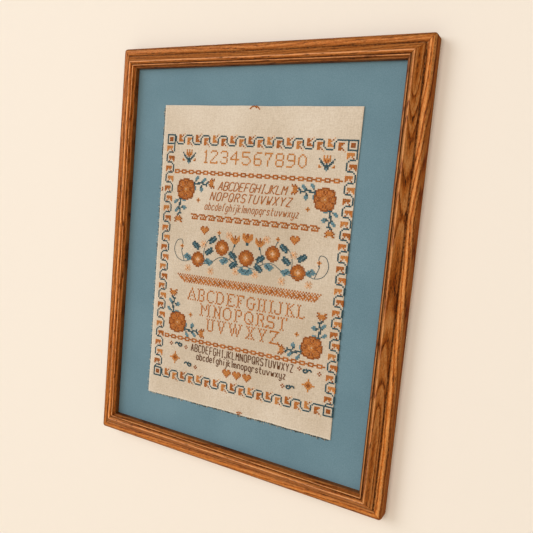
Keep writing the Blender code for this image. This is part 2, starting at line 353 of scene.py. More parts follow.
def cloth_outline(u, v):
    """Points of the sheet, blended between its four edges."""
    corner = {name: np.array(point) for name, point in CLOTH_CORNERS.items()}
    low = corner["bottom_left"] + (corner["bottom_right"] - corner["bottom_left"]) * u[:, None]
    high = corner["top_left"] + (corner["top_right"] - corner["top_left"]) * u[:, None]
    from_sides = edge_line("left", v) * (1 - u[:, None]) + edge_line("right", v) * u[:, None]
    from_ends = edge_line("bottom", u) * (1 - v[:, None]) + edge_line("top", u) * v[:, None]
    return from_sides + from_ends - low * (1 - v[:, None]) - high * v[:, None]


def cloth_face(x, z):
    """How far forward the cloth's face lies, over points from the opening's middle."""
    u = (x - CLOTH_LOW[0]) / CLOTH_SPAN[0]
    v = (z - CLOTH_LOW[1]) / CLOTH_SPAN[1]
    near_edge = 1 - 16 * u * (1 - u) * v * (1 - v)
    along = np.sin(2 * np.pi * (2.5 * v + 0.2)) * np.cos(2 * np.pi * (1.5 * u + 0.1))
    pucker = np.sin(x * 210 + 1.3 * np.sin(z * 95)) * np.sin(z * 178 + 0.9 * np.sin(x * 120))
    pucker = 0.00005 * pucker + 0.00006 * np.sin(x * 61 - z * 43) * np.sin(z * 37 + x * 12)
    return CLOTH_FRONT - CLOTH_COCKLE * near_edge * (0.5 + 0.5 * along) + pucker


def on_chart(column, row):
    """Places on the cloth, from the opening's middle, of points on the stitches' grid."""
    top_left, top_right, low_left, low_right = (np.array(corner) for corner in CHART_CORNERS)
    u = np.asarray(column)[..., None] / CHART_COLUMNS
    v = np.asarray(row)[..., None] / CHART_ROWS
    return (top_left * (1 - u) + top_right * u) * (1 - v) + (low_left * (1 - u) + low_right * u) * v


def chart_place(x, z):
    """The points on the stitches' grid at places on the cloth: on_chart the other way round."""
    (left, top), (right, _), (_, foot), _ = CHART_CORNERS
    per_metre = np.array((CHART_COLUMNS / (right - left), CHART_ROWS / (foot - top)))
    place = np.stack([x - left, z - top], 1) * per_metre
    for _ in range(12):
        place -= (on_chart(place[:, 0], place[:, 1]) - np.stack([x, z], 1)) * per_metre
    return place


bpy.ops.object.select_all(action="DESELECT")
bpy.ops.mesh.primitive_grid_add(x_subdivisions=CLOTH_SQUARES[0], y_subdivisions=CLOTH_SQUARES[1], size=1)
cloth = bpy.context.object
cloth.name = cloth.data.name = "sampler_cloth"
flat = np.empty(len(cloth.data.vertices) * 3)
cloth.data.vertices.foreach_get("co", flat)
flat = flat.reshape(-1, 3)
share = [np.clip(flat[:, axis] + 0.5, 0, 1) for axis in (0, 1)]
# the outermost three rows of squares are drawn in to the edge, to make its rounding
for axis, (count, size) in enumerate(zip(CLOTH_SQUARES, CLOTH_FLAT)):
    line = np.rint(share[axis] * count)
    for number, inset in ((1, 0.35), (2, 0.9), (3, 2.4)):
        share[axis][line == number] = inset * 0.001 / size
        share[axis][line == count - number] = 1 - inset * 0.001 / size
x, z = cloth_outline(*share).T
from_low = [part * size for part, size in zip(share, CLOTH_FLAT)]
from_high = [(1 - part) * size for part, size in zip(share, CLOTH_FLAT)]
rolled = np.clip(1 - np.minimum.reduce([*from_low, *from_high]) / EDGE_ROUNDING, 0, 1) ** 2
y = cloth_face(x, z) + rolled * 0.0003
cloth.data.vertices.foreach_set("co", np.stack([x, y, z + MIDDLE_Z], 1).ravel())
# where each point lies on the stitches' grid, for the weave
threads = cloth.data.uv_layers.new(name="threads")
corner_points = np.empty(len(cloth.data.loops), int)
cloth.data.loops.foreach_get("vertex_index", corner_points)
threads.data.foreach_set("uv", chart_place(x, z)[corner_points].ravel())
edge_mark = cloth.data.attributes.new("raw_edge", "FLOAT", "POINT")
raw = np.clip(1 - np.minimum(*from_low) / RAW_FADE, 0, 1)
edge_mark.data.foreach_set("value", raw.astype(np.float32))
thicken = cloth.modifiers.new("thickness", "SOLIDIFY")
thicken.thickness = CLOTH_THICK
thicken.offset = -1
thicken.use_even_offset = False
bpy.ops.object.modifier_apply(modifier="thickness")
bpy.ops.object.shade_smooth_by_angle(angle=math.radians(50))

# A plain weave: warp and weft cross over and under, with a small hole at each crossing.
plain_weave, woven, weave = new_group(
    "plain_weave", {"Threads": "Vector", "Count": "Float"},
    {"Height": "Float", "Holes": "Float", "Slubs": "Float"})
spot = put(plain_weave, "SeparateXYZ", {0: woven.outputs["Threads"]})
turns = maths(plain_weave, "MULTIPLY", woven.outputs["Count"], math.pi)
warp = maths(plain_weave, "SINE", maths(plain_weave, "MULTIPLY", spot.outputs[0], turns))
weft = maths(plain_weave, "SINE", maths(plain_weave, "MULTIPLY", spot.outputs[1], turns))
over = maths(plain_weave, "MULTIPLY", warp, weft)
warp_gap = maths(plain_weave, "SUBTRACT", 1.0, maths(plain_weave, "ABSOLUTE", warp))
weft_gap = maths(plain_weave, "SUBTRACT", 1.0, maths(plain_weave, "ABSOLUTE", weft))
gap = maths(plain_weave, "MULTIPLY", warp_gap, weft_gap)
# slubs: each thread is thicker in places, so the noise is drawn out along weft and warp
slubbed = []
for along, across in ((0.16, 2.1), (2.1, 0.13)):
    drawn_out = put(plain_weave, "VectorMath", {0: woven.outputs["Threads"], 1: (along, across, 0.0)},
                    operation="MULTIPLY").outputs[0]
    slubbed.append((noise(plain_weave, drawn_out, 1.0, 2.0), 0.5))
slubs = weighted(plain_weave, *slubbed)
plain_weave.links.new(weighted(plain_weave, (over, 0.4), (gap, -0.9)), weave.inputs["Height"])
plain_weave.links.new(gap, weave.inputs["Holes"])
plain_weave.links.new(slubs, weave.inputs["Slubs"])

# The cloth is darker around this point of it and a little paler further out.
DARKER_AROUND = (0.01, -0.015, -0.28)
linen, tree, shader = new_material("cream_evenweave")
cloth_weave = placed(tree, plain_weave, {"Threads": put(tree, "UVMap", uv_map="threads").outputs[0],
                                         "Count": 2.0})
place = put(tree, "TexCoord").outputs["Object"]
age = noise(tree, place, 11.0, 3.0)
nubs = noise(tree, place, 620.0, 1.0)
tint = weighted(tree, (age, 0.5), (cloth_weave.outputs["Slubs"], 0.5), (nubs, 0.38), plus=-0.19)
middle = put(tree, "VectorMath", {0: place, 1: DARKER_AROUND}, operation="DISTANCE").outputs["Value"]
darker_around = put(tree, "MapRange", {0: middle, 1: 0.05, 2: 0.20, 3: -0.11, 4: 0.04}).outputs[0]
tint = maths(tree, "ADD", tint, darker_around)
colour = ramp(tree, tint, [(0.30, linear(197, 175, 147)), (0.50, linear(217, 196, 170)),
                           (0.70, linear(232, 214, 191))])
# Painted shade in the holes of the weave
hole_shade = maths(tree, "MULTIPLY", cloth_weave.outputs["Holes"], 0.45)
colour = blended(tree, hole_shade, colour, linear(150, 122, 90))
edge = put(tree, "Attribute", attribute_name="raw_edge").outputs["Fac"]
colour = blended(tree, maths(tree, "MULTIPLY", edge, 0.55), colour, linear(240, 228, 208))
tree.links.new(colour, shader.inputs["Base Color"])
shader.inputs["Roughness"].default_value = 0.92
shader.inputs["Specular IOR Level"].default_value = 0.2
shader.inputs["Sheen Weight"].default_value = 0.15
bump = put(tree, "Bump", {"Height": cloth_weave.outputs["Height"], "Strength": 0.8, "Distance": 0.00018})
tree.links.new(bump.outputs[0], shader.inputs["Normal"])
cloth.data.materials.append(linen)
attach(cloth, "root")
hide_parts("stitched_cloth")


# The threads: six-strand cotton in shades of rust, dark teal and grey-blue. One cross is
# modelled, a lower leg and an upper leg over it, and copied onto the grid of the cloth.
THREADS = {
    "o": ("light_rust", "rust_thread", (206, 134, 68)),
    "c": ("copper", "rust_thread", (196, 118, 54)),
    "m": ("mid_rust", "rust_thread", (180, 102, 40)),
    "d": ("dark_rust", "rust_thread", (158, 85, 32)),
    "p": ("pale_peach", "rust_thread", (228, 184, 144)),
    "n": ("brown", "rust_thread", (104, 58, 26)),
    "t": ("dark_teal", "blue_thread", (58, 86, 92)),
    "b": ("grey_blue", "blue_thread", (108, 141, 147)),
    "l": ("raw_linen", "linen", (222, 202, 172)),
    # dark linen for loose threads and fringe at the raw edges, partly a painted shadow under them
    "g": ("shaded_linen", "linen", (78, 70, 56)),
}
STITCH = 0.00173
# The sizes of one leg, in stitches
LEG_LENGTH, LEG_WIDTH, LEG_HEIGHT = 1.34, 0.52, 0.26
hand = np.random.default_rng(14)

cotton, spun, strands = new_group(
    "cotton_strands", {"Lie": "Vector", "Place": "Vector", "Lot": "Float"},
    {"Shade": "Float", "Height": "Float"})
lie = put(cotton, "SeparateXYZ", {0: spun.outputs["Lie"]})
twist = weighted(cotton, (lie.outputs[0], 6 * math.pi), (lie.outputs[1], 7 * math.pi))
strand = maths(cotton, "ABSOLUTE", maths(cotton, "SINE", twist))
fuzz = noise(cotton, spun.outputs["Place"], 2600.0, 2.0)
# Painted highlight along each strand and painted shade between them, with fuzz and each stitch's lot
shade = weighted(cotton, (strand, 0.32), (fuzz, 0.22), (spun.outputs["Lot"], 0.36), plus=0.10)
cotton.links.new(shade, strands.inputs["Shade"])
cotton.links.new(weighted(cotton, (strand, 1.0), (fuzz, 0.4)), strands.inputs["Height"])


def cotton_thread(name, slot, colour):
    """Cotton of one colour: paler along each strand and darker between, a painted highlight and shade, each
    stitch a little different.
    """
    material, tree, shader = new_material(name + "_cotton")
    thread = placed(tree, cotton, {"Lie": put(tree, "UVMap", uv_map="strand").outputs[0],
                                   "Place": put(tree, "TexCoord").outputs["Object"],
                                   "Lot": put(tree, "Attribute", attribute_name="lot").outputs["Fac"]})
    light = [min(255, 1.12 * part + 4) for part in colour]
    dark = [0.78 * part for part in colour]
    dyed = ramp(tree, thread.outputs["Shade"], [(0.12, linear(*dark)), (0.5, linear(*colour)),
                                                (0.92, linear(*light))])
    tree.links.new(dyed, shader.inputs["Base Color"])
    shader.inputs["Roughness"].default_value = 0.75
    shader.inputs["Specular IOR Level"].default_value = 0.12
    bump = put(tree, "Bump", {"Height": thread.outputs["Height"], "Strength": 0.6, "Distance": 0.00008})
    tree.links.new(bump.outputs[0], shader.inputs["Normal"])
    return material


cottons = {mark: cotton_thread(*made_of) for mark, made_of in THREADS.items()}


def thread_leg(name, length, width, height, lift, ends):
    """A thread along X over the cloth, its ends drawn down into it, in units of one stitch."""
    bpy.ops.object.select_all(action="DESELECT")
    bpy.ops.mesh.primitive_cylinder_add(vertices=6, radius=0.5, depth=1, end_fill_type="NGON",
                                        rotation=(0, math.pi / 2, 0))
    leg = bpy.context.object
    leg.name = name
    bpy.ops.object.transform_apply(location=False, rotation=True, scale=False)
    bpy.ops.object.mode_set(mode="EDIT")
    bpy.ops.mesh.select_mode(type="EDGE")
    bpy.ops.mesh.select_all(action="DESELECT")
    bpy.ops.object.mode_set(mode="OBJECT")
    for edge in leg.data.edges:
        first, last = (leg.data.vertices[n].co for n in edge.vertices)
        edge.select = abs(first.x - last.x) > 0.5
    bpy.ops.object.mode_set(mode="EDIT")
    bpy.ops.mesh.subdivide(number_cuts=3)
    bpy.ops.object.mode_set(mode="OBJECT")
    for vertex in leg.data.vertices:
        ring = ("middle", "shoulder", "end")[round(abs(vertex.co.x) * 4)]
        reach = {"middle": 0.0, "shoulder": 0.35, "end": 0.5}[ring]
        full = ends if ring == "end" else 1.0
        vertex.co = Vector((math.copysign(reach * length, vertex.co.x), vertex.co.y * width * full,
                            vertex.co.z * height * full + lift[ring]))
    return leg


def arrays_of(piece):
    """A small model's points, faces and strand map as arrays, and the model removed."""
    mesh = piece.data
    points = np.array([vertex.co for vertex in mesh.vertices])
    faces = [list(polygon.vertices) for polygon in mesh.polygons]
    strand = np.empty(len(mesh.loops) * 2)
    mesh.uv_layers[0].data.foreach_get("uv", strand)
    bpy.data.objects.remove(piece)
    return points, faces, strand.reshape(-1, 2)


lower_leg = thread_leg("lower_leg", LEG_LENGTH, LEG_WIDTH, LEG_HEIGHT,
                       {"middle": 0.10, "shoulder": 0.11, "end": -0.06}, 0.5)
upper_leg = thread_leg("upper_leg", LEG_LENGTH, LEG_WIDTH, LEG_HEIGHT,
                       {"middle": 0.27, "shoulder": 0.15, "end": -0.06}, 0.5)
for leg, angle in ((lower_leg, math.pi / 4), (upper_leg, -math.pi / 4)):
    leg.data.transform(Matrix.Rotation(angle, 4, "Z"))
bpy.ops.object.select_all(action="DESELECT")
upper_leg.select_set(True)
lower_leg.select_set(True)
bpy.context.view_layer.objects.active = lower_leg
bpy.ops.object.join()
CROSS = arrays_of(lower_leg)


def sewn(name, thread, model, columns, rows, heights, lots):
    """Copies of a small model as one piece: each copy's points on the chart, laid on the cloth."""
    points, faces, strand = model
    count = len(columns)
    x, z = np.moveaxis(on_chart(columns.ravel(), rows.ravel()), -1, 0)
    y = cloth_face(x, z) - heights.ravel() * STITCH
    mesh = bpy.data.meshes.new(name)
    steps = (np.arange(count) * len(points)).tolist()
    mesh.from_pydata(np.stack([x, y, z + MIDDLE_Z], 1).tolist(), [],
                     [[step + corner for corner in face] for step in steps for face in faces])
    mesh.uv_layers.new(name="strand").data.foreach_set("uv", np.tile(strand, (count, 1)).ravel())
    lot = mesh.attributes.new("lot", "FLOAT", "POINT")
    lot.data.foreach_set("value", np.repeat(lots, len(points)).astype(np.float32))
    mesh.shade_smooth()
    mesh.materials.append(cottons[thread])
    piece = bpy.data.objects.new(name, mesh)
    bpy.context.scene.collection.objects.link(piece)
    piece.parent = cloth
    return piece


def cross_stitched(part, marks):
    """One piece of crosses for each thread of a part of the design."""
    for thread in sorted({mark for mark, _, _ in marks}):
        spots = np.array([(column, row) for mark, column, row in marks if mark == thread], float)
        lean = hand.normal(0, 0.05, len(spots))[:, None]
        pull = hand.normal(1, 0.03, len(spots))[:, None]
        middles = spots + 0.5 + hand.normal(0, 0.035, (len(spots), 2))
        x, y, height = CROSS[0].T
        columns = middles[:, :1] + pull * (x * np.cos(lean) - y * np.sin(lean))
        rows = middles[:, 1:] - pull * (x * np.sin(lean) + y * np.cos(lean))
        heights = np.tile(height, (len(spots), 1))
        name = f"{part}_{THREADS[thread][0]}"
        sewn(name, thread, CROSS, columns, rows, heights, hand.random(len(spots)))


def counted(chart, column, row, mirror=False, upside_down=False, turned=False):
    """The stitches of a chart drawn in letters, one letter a thread, from its upper left corner."""
    lines = chart.split()
    if turned:
        lines = ["".join(line[n] for line in lines) for n in range(len(lines[0]))]
    if upside_down:
        lines = lines[::-1]
    if mirror:
        lines = [line[::-1] for line in lines]
    return [(mark, column + across, row + down) for down, line in enumerate(lines)
            for across, mark in enumerate(line) if mark != "."]


# The border: a dark teal wave seven stitches deep with a notched rust block in each pocket,
# in three shades by turns, and a square at each corner. The sides are the same wave turned.
WAVE = ((-1, 0), (0, 0), (1, 0), (2, 0), (3, 0), (4, 1), (4, 2), (4, 3), (4, 4), (5, 5),
        (6, 6), (7, 6), (8, 6), (9, 6), (10, 6), (11, 5), (11, 4), (11, 3), (11, 2), (12, 1))
WAVE_LENGTH = 14
BORDER_DEPTH = 7
POCKET = "##.d ###. ##.. ###. ####"
CORNER = "ttttttt t.....t t.ddd.t t.dmd.t t.ddd.t t.....t ttttttt"
FAR_COLUMN, FAR_ROW = CHART_COLUMNS - BORDER_DEPTH, CHART_ROWS - BORDER_DEPTH
# Where the wave starts along the top and along the sides, and where the top's wave runs straight
TOP_START, SIDE_START, TOP_END = 3, 8, 129
POCKET_PITCH = 7

border = []
wave = [(WAVE_LENGTH * n + along, depth) for n in range(-1, 12) for along, depth in WAVE]
for row in (0, FAR_ROW):
    for column in (0, FAR_COLUMN):
        border += counted(CORNER, column, row)
    border += [("t", along + TOP_START, row + depth) for along, depth in wave
               if BORDER_DEPTH <= along + TOP_START < TOP_END]
    border += [("t", column, row) for column in range(TOP_END, FAR_COLUMN)]
    for n in range(18):
        start, hollow = TOP_START + POCKET_PITCH * (n + 1), n % 2
        border += counted(POCKET.replace("#", "com"[n % 3]), start, row + 2 * hollow, upside_down=hollow)
        border.append(("p", start + 4, row + (7 if hollow else -1)))
for column in (0, FAR_COLUMN):
    border += [("t", column + BORDER_DEPTH - 1 - depth, along + SIDE_START) for along, depth in wave
               if BORDER_DEPTH <= along + SIDE_START < FAR_ROW]
    for n in range(23):
        start, hollow = SIDE_START + POCKET_PITCH * n, n % 2
        border += counted(POCKET.replace("#", "omc"[n % 3]), column + 2 * hollow, start,
                          turned=True, mirror=not hollow)
cross_stitched("border", border)


# The digits 1 to 0 in light rust, nine stitches high, with a sprig of three flowers at each side.
DIGITS = (
    ".#. ##. .#. .#. .#. .#. .#. .#. ###",
    ".####. #....# .....# ....#. ...#.. ..#... .#.... #....# ######",
    ".####. #....# .....# .....# ..###. .....# .....# #....# .####.",
    "....#.. ...##.. ..#.#.. .#..#.. #...#.. ####### ....#.. ....#.. ....#..",
    "######. #...... #...... #####.. .....#. ......# ......# #....#. .####..",
    "..#### .#.... #..... #..... #####. #....# #....# #....# .####.",
    "###### #...#. ....#. ...#.. ...#.. ..#... ..#... ..#... ..#...",
    ".####. #....# #....# #....# .####. #....# #....# #....# .####.",
    ".####. #....# #....# #....# .##### .....# .....# ....#. ####..",
    "..##.. .#..#. #....# #....# #....# #....# #....# .#..#. ..##..",
)
SPRIG = """
...o.o.o...
...o.o.o...
t..ooooo..t
.t.ododo.t.
.tt.odo.tt.
..tt.t.tt..
o..ttttt..o
mo..ttt..om
....tbt....
.....b....."""


def row_of(glyphs, first, last, row, thread):
    """Letters or digits set out evenly between two columns."""
    widths = [len(glyph.split()[0]) for glyph in glyphs]
    space = (last - first - sum(widths)) / (len(glyphs) - 1)
    marks = []
    at = first
    for glyph, width in zip(glyphs, widths):
        marks += counted(glyph.replace("#", thread), round(at), row)
        at += width + space
    return marks


cross_stitched("digits", row_of(DIGITS, 32, 109, 10, "o"))
cross_stitched("sprigs", counted(SPRIG, 14, 10) + counted(SPRIG, 117, 10))


# Two chains of rust links, which part the digits and the lower lines from the middle.
chains = []
for row in (24, 142):
    for column in range(8, 134):
        link = (column - 8) % 6
        if link < 4:
            shade = "cm"[(column - 8) // 6 % 2]
            chains += [(shade, column, row), (shade, column, row + 2)]
        if link not in (1, 2):
            chains.append(("m", column, row + 1))
cross_stitched("chains", chains)


# A band of small key figures in mid rust, under the sloping lines.
KEY = "mmmmm.. ..o.mmd .d.o.m. .mmmmm."
cross_stitched("key_band", [mark for n in range(14) for mark in counted(KEY, 24 + 7 * n, 54)])


# A band of checks in copper and rust: open at its edges, closer in the middle, with its ends
# cut on the slope.
CHECKS = ("#.#.", ".#.#", "#.##", "##.#", ".###", "#.#.")
checks = [("cccm"[(column + 2 * down) // 5 % 4], column, 97 + down) for down, check in enumerate(CHECKS)
          for column in range(16 + down, 128 - down) if check[column % 4] == "#"]
cross_stitched("checker_band", checks)


# The large alphabet: capitals in copper, nine stitches high, their serifs two single crosses.
CAPITALS = {
    "A": "...#... ...#... ..#.#.. ..#.#.. .#...#. .#.#.#. .#...#. #.....# #.#.#.#",
    "B": "#.###. .#...# .#...# .#...# .#.##. .#...# .#...# .#...# #.###.",
    "C": "..###. .#...# #..... #..... #..... #..... #..... .#...# ..###.",
    "D": "#.###.. .#...#. .#....# .#....# .#....# .#....# .#....# .#...#. #.###..",
    "E": "#.####. .#....# .#..... .#.#... .##.... .#.#... .#..... .#....# #.####.",
    "F": "#.#### .#...# .#.... .#.#.. .##... .#.#.. .#.... .#.... #.#...",
    "G": "..###.. .#...#. #...... #...... #..#.## #....#. #....#. .#...#. ..###..",
    "H": "#.#.#.# .#...#. .#...#. .#...#. .#.#.#. .#...#. .#...#. .#...#. #.#.#.#",
    "I": "#.# .#. .#. .#. .#. .#. .#. .#. #.#",
    "J": "...#.# ....#. ....#. ....#. ....#. ....#. #...#. #...#. .###..",
    "K": "#.#..#. .#..#.. .#.#... .##.... .#.#... .#..#.. .#..#.. .#...#. #.#.#.#",
    "L": "#.#... .#.... .#.... .#.... .#.... .#.... .#.... .#...# #.###.",
    "M": ("#.....#.# .#...#.#. .##..#.#. .#.#.#.#. .#..#..#. "
          ".#.....#. .#.....#. .#.....#. #.#...#.#"),
    "N": "#...#.# .#...#. .##..#. .##..#. .#.#.#. .#..##. .#..##. .#...#. #.#..#.",
    "O": "..###.. .#...#. #.....# #.....# #.....# #.....# #.....# .#...#. ..###..",
    "P": "#.###. .#...# .#...# .#...# .#.##. .#.... .#.... .#.... #.#...",
    "Q": "..###.. .#...#. #.....# #.....# #.....# #..#..# #...#.# .#...#. ..###.#",
    "R": "#.###.. .#...#. .#...#. .#...#. .#.##.. .#..#.. .#...#. .#...#. #.#..#.#",
    "S": ".###.# #...## #..... #..... .####. .....# .....# ##...# #.###.",
    "T": "#.#.#.# #..#..# ...#... ...#... ...#... ...#... ...#... ...#... ..#.#..",
    "U": "#.#.#.# .#...#. .#...#. .#...#. .#...#. .#...#. .#...#. .#...#. ..###..",
    "V": "#.#.#.# .#...#. .#...#. .#...#. ..#.#.. ..#.#.. ..#.#.. ...#... ...#...",
    "W": ("#.#..#..#.# .#...#...#. .#...#...#. .#..#.#..#. ..#.#.#.#.. "
          "..#.#.#.#.. ..#.#.#.#.. ...#...#... ...#...#..."),
    "X": "#.#.#.# .#...#. ..#.#.. ..#.#.. ...#... ..#.#.. ..#.#.. .#...#. #.#.#.#",
    "Y": "#.#.#.# .#...#. .#...#. ..#.#.. ..#.#.. ...#... ...#... ...#... ..#.#..",
    "Z": "####### #....#. ....#.. ....#.. ...#... ..#.... ..#.... .#....# #######",
}
ALPHABET_LINES = (("ABCDEFGHIJKL", 26, 117, 106), ("MNOPQRST", 37, 105, 116), ("UVWXYZ", 43, 100, 126))
alphabet = []
for letters, first, last, row in ALPHABET_LINES:
    alphabet += row_of([CAPITALS[letter] for letter in letters], first, last, row, "c")
cross_stitched("alphabet", alphabet)


# A leafy spray in each corner of the middle field: a large flower in the corner, and from it
# two twigs with leaves and buds, each ending in a tulip.
LARGE_FLOWER = """
.....ddddd.....
..ddddcccdddd..
.ddcccdcdcccdd.
.dccccdcdccccd.
.dcccccdcccccd.
dddcccmommcccdd
dccddmoooomddcd
dcccdmopoomdccd
dccddmoooomddcd
dddcccmommcccdd
.dcccccdcccccd.
.dccccdcdccccd.
.ddcccdcdcccdd.
..ddddcccdddd..
.....ddddd....."""
ROSETTE = """
....ddd....
..ddmmmdd..
.dmmmmmmmd.
.dmmooommd.
dmmoopoommd
dmmopppommd
dmmoopoommd
.dmmooommd.
.dmmmmmmmd.
..ddmmmdd..
....ddd...."""
TWIG = """
.....bb.............
....bbb....bb....d.d
....bb....bbb...dodo
.t..t....tbb..tdooo.
..tt..ttttt..tt.ooo.
tttttttt..tttt.dooo.
...t.....t...t..dodo
..bbb...tt.......d.d
..bbb...bbb.........
...bb...bbb.........
.........b.........."""
SPRAY_BUD = ".o. odo .o."
# chart, column, row, turned
SPRAY = ((TWIG, 22, 28, False), (TWIG, 9, 41, True), (LARGE_FLOWER, 11, 30, False),
         (SPRAY_BUD, 28, 43, False))
# A row of an upper spray and the same row of a lower one add up to this
SPRAY_ROWS = 170
sprays = {}
for right in (False, True):
    for below in (False, True):
        for chart, column, row, turned in SPRAY:
            wide, high = len(chart.split()[0]), len(chart.split())
            if turned:
                wide, high = high, wide
            start = CHART_COLUMNS - column - wide if right else column
            top = SPRAY_ROWS - row - high if below else row
            for mark, across, down in counted(chart, start, top, right, below, turned):
                sprays[across, down] = mark
cross_stitched("sprays", [(mark, *spot) for spot, mark in sprays.items()])


# The garland in the middle: round flowers, tulips, leaves and small blossoms, mirrored about
# the middle, with a heart over each side. Its vine comes with the backstitch.
TULIP = "o..d..o oo.d.oo oododoo ooodooo .ooooo. ..ooo.. ...t... ...t..."
LEAF = "....tt.. ..ttbt.. .ttbttt. ttbttt.. tbttt... .tt....."
BLUE_LEAF = "...bb... .bbtbb.. bbtbbbb. btbbbb.. .bbb...."
BLOSSOM = ".p.p. ppppp .pop. ppppp .p.p."
HEART = ".mm.mm. mooooom mooooom .mooom. ..mom.. ...m..."
BUD = ".o. odo .o. .t."
GARLAND = (
    # motif, column, row, mirrored, upside down
    (ROSETTE, 66, 75, False, False), (TULIP, 68, 64, False, False),
    (ROSETTE, 46, 70, False, False), (ROSETTE, 27, 80, False, False), (TULIP, 58, 66, True, False),
    (LEAF, 57, 77, False, True), (LEAF, 58, 83, False, False), (BLUE_LEAF, 49, 82, True, True),
    (LEAF, 38, 76, False, False), (BLUE_LEAF, 38, 84, False, True), (LEAF, 39, 68, True, True),
    (BLOSSOM, 61, 88, False, False), (BLOSSOM, 54, 64, False, False), (BLOSSOM, 41, 90, False, False),
    (BLOSSOM, 34, 72, False, False), (BLOSSOM, 22, 90, False, False), (BLUE_LEAF, 19, 82, True, False),
    (LEAF, 27, 73, False, True), (HEART, 33, 62, False, False), (BUD, 47, 64, False, False),
    (BUD, 17, 76, False, False), (BLUE_LEAF, 64, 87, True, False),
)
garland = {}
for motif, column, row, mirror, upside_down in GARLAND:
    mirrored_column = CHART_COLUMNS - column - len(motif.split()[0])
    for start, flip in ((column, mirror), (mirrored_column, not mirror)):
        for mark, across, down in counted(motif, start, row, flip, upside_down):
            garland[across, down] = mark
cross_stitched("garland", [(mark, *spot) for spot, mark in garland.items()])


# Under the lower lines: three hearts, a star at each side, and small rings beside the scrolls.
RING = ".d. d.d .d."
STAR = "....o.... ....o.... ...ooo... ..oodoo.. ooodddooo ..oodoo.. ...ooo... ....o.... ....o...."
SMALL_MOTIFS = (
    (STAR, 14, 154), (STAR, 119, 153), (HEART, 59, 159), (HEART, 67, 159), (HEART, 75, 159), (RING, 13, 147),
    (RING, 26, 148), (RING, 115, 146), (RING, 129, 147), (RING, 35, 161), (RING, 104, 160),
)
cross_stitched("hearts_and_stars", [mark for motif in SMALL_MOTIFS for mark in counted(*motif)])


# Backstitch: straight stitches end to end, drawn by strokes. In the upper field stand two
# sloping lines of capitals and one of small letters, and below them two small lines in brown.
# Each stroke is a run of points, two figures a point: across, and up from two below the line.
STROKES = {
    "A": "022842 1434", "B": "02083847463505 3544433202", "C": "4738180703123243",
    "D": "02082846442202", "E": "48080242 0535", "F": "480802 0535", "G": "473818070312324345 4525",
    "H": "0208 4248 0545", "I": "2822 1838 1232", "J": "4843321203", "K": "0208 480542", "L": "080242",
    "M": "0208254842", "N": "02084248", "O": "180703123243473818", "P": "02083847463505",
    "Q": "180703123243473818 2442", "R": "02083847463505 2542", "S": "473818070615354443321203",
    "T": "0848 2822", "U": "080312324348", "V": "082248", "W": "0812253248", "X": "0248 0842",
    "Y": "082548 2522", "Z": "08480242",
    "a": "3526160503122233 3632", "b": "0802 0516263533221203", "c": "3526160503122233",
    "d": "3832 3526160503122233", "e": "04343526160503122233", "f": "38281712 0626",
    "g": "3631201001 3526160503122233", "h": "0802 0516263532", "i": "1612 1718",
    "j": "26211000 2728", "k": "0802 360432", "l": "1812", "m": "0602 05162522 25364542",
    "n": "0602 0516263532", "o": "160503122233352616", "p": "0600 0516263533221203",
    "q": "3630 3526160503122233", "r": "0602 05162635", "s": "35261605142433221203",
    "t": "18132232 0636", "u": "0603122233 3632", "v": "062246", "w": "0612253246",
    "x": "0632 3602", "y": "0603122233 3631201001", "z": "06360232",
}
BACKSTITCH = arrays_of(thread_leg("backstitch", 1.14, 1.0, 0.7,
                                  {"middle": 0.42, "shoulder": 0.30, "end": -0.25}, 0.5))
LONGEST_STITCH = 1.9


def back_stitched(name, thread, lines, width, drop=(0.0, 0.0)):
    """One piece of straight stitches along lines of chart points, the long ones in several
    stitches. The drop lowers each stitch's two ends below the cloth's face, in stitches."""
    first, last = [], []
    for line in lines:
        for here, there in zip(line, line[1:]):
            here, there = np.array(here), np.array(there)
            count = max(1, math.ceil(np.hypot(*(there - here)) / LONGEST_STITCH))
            for n in range(count):
                first.append(here + (there - here) * n / count)
                last.append(here + (there - here) * (n + 1) / count)
    first, last = np.array(first), np.array(last)
    run = last - first
    side = np.stack([-run[:, 1], run[:, 0]], 1) / np.hypot(run[:, 0], run[:, 1])[:, None] * width
    x, y, height = BACKSTITCH[0].T
    columns = first[:, :1] + run[:, :1] * (x + 0.5) + side[:, :1] * y
    rows = first[:, 1:] + run[:, 1:] * (x + 0.5) + side[:, 1:] * y
    heights = height * width - drop[0] - (drop[1] - drop[0]) * (x + 0.5)
    return sewn(name, thread, BACKSTITCH, columns, rows, np.tile(heights, (len(first), 1)),
                hand.random(len(first)))


def rounded(points, steps=5):
    """A smooth line through chart points."""
    ends = [points[0], *points, points[-1]]
    line = []
    for before, here, there, after in zip(ends, ends[1:], ends[2:], ends[3:]):
        before, here, there, after = (np.array(point, float) for point in (before, here, there, after))
        bend = 2 * before - 5 * here + 4 * there - after
        twist = 3 * here - before - 3 * there + after
        for step in range(steps):
            t = step / steps
            line.append(here + 0.5 * t * (there - before + t * (bend + t * twist)))
    return [*line, np.array(points[-1], float)]


def written(letters, first, last, base_row, wide, high, slope=0.0):
    """The strokes of a line of letters between two columns, standing on a row of the chart."""
    figures = [STROKES[letter].replace(" ", "")[::2] for letter in letters]
    sizes = [max(int(figure) for figure in across) * wide for across in figures]
    gap = (last - first - sum(sizes)) / (len(letters) - 1)
    lines = []
    at = first
    for letter, size in zip(letters, sizes):
        for stroke in STROKES[letter].split():
            points = [(int(a), int(b) - 2) for a, b in zip(stroke[::2], stroke[1::2])]
            lines.append([(at + x * wide + y * high * slope, base_row - y * high) for x, y in points])
        at += size + gap
    return lines


